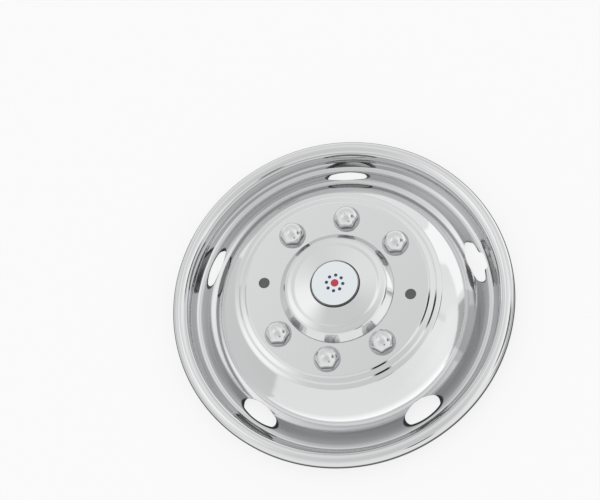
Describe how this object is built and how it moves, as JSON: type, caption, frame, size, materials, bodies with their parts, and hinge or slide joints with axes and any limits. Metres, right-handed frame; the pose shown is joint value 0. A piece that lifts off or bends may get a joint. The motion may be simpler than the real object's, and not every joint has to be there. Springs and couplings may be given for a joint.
{
  "type": "truck wheel simulator",
  "caption": "Round pressed stainless wheel simulator with a raised face, hand holes, hexagonal lug covers, a hub cap and a round medallion.",
  "frame": {"origin": "centre of the lowest plane, the bottom of the liner's valley, on the wheel's axis", "axes": "+Z along the wheel's axis, outboard; +X through one of the two open stud holes"},
  "size_m": [0.528, 0.528, 0.1055],
  "materials": {
    "polished_steel": "mirror-polished stainless steel",
    "spring_steel": "plain zinc-plated spring steel",
    "medallion": "white enamel under a clear coat, with a dark edge"
  },
  "bodies": {
    "root": {"liner": "polished_steel", "hub_cap": "polished_steel", "medallion": "medallion", "lug_cover_1": "polished_steel", "lug_cover_2": "polished_steel", "lug_cover_3": "polished_steel", "lug_cover_5": "polished_steel", "lug_cover_6": "polished_steel", "lug_cover_7": "polished_steel", "lug_retainer_1": "spring_steel", "lug_retainer_2": "spring_steel", "lug_retainer_3": "spring_steel", "lug_retainer_5": "spring_steel", "lug_retainer_6": "spring_steel", "lug_retainer_7": "spring_steel"}
  },
  "joints": []
}
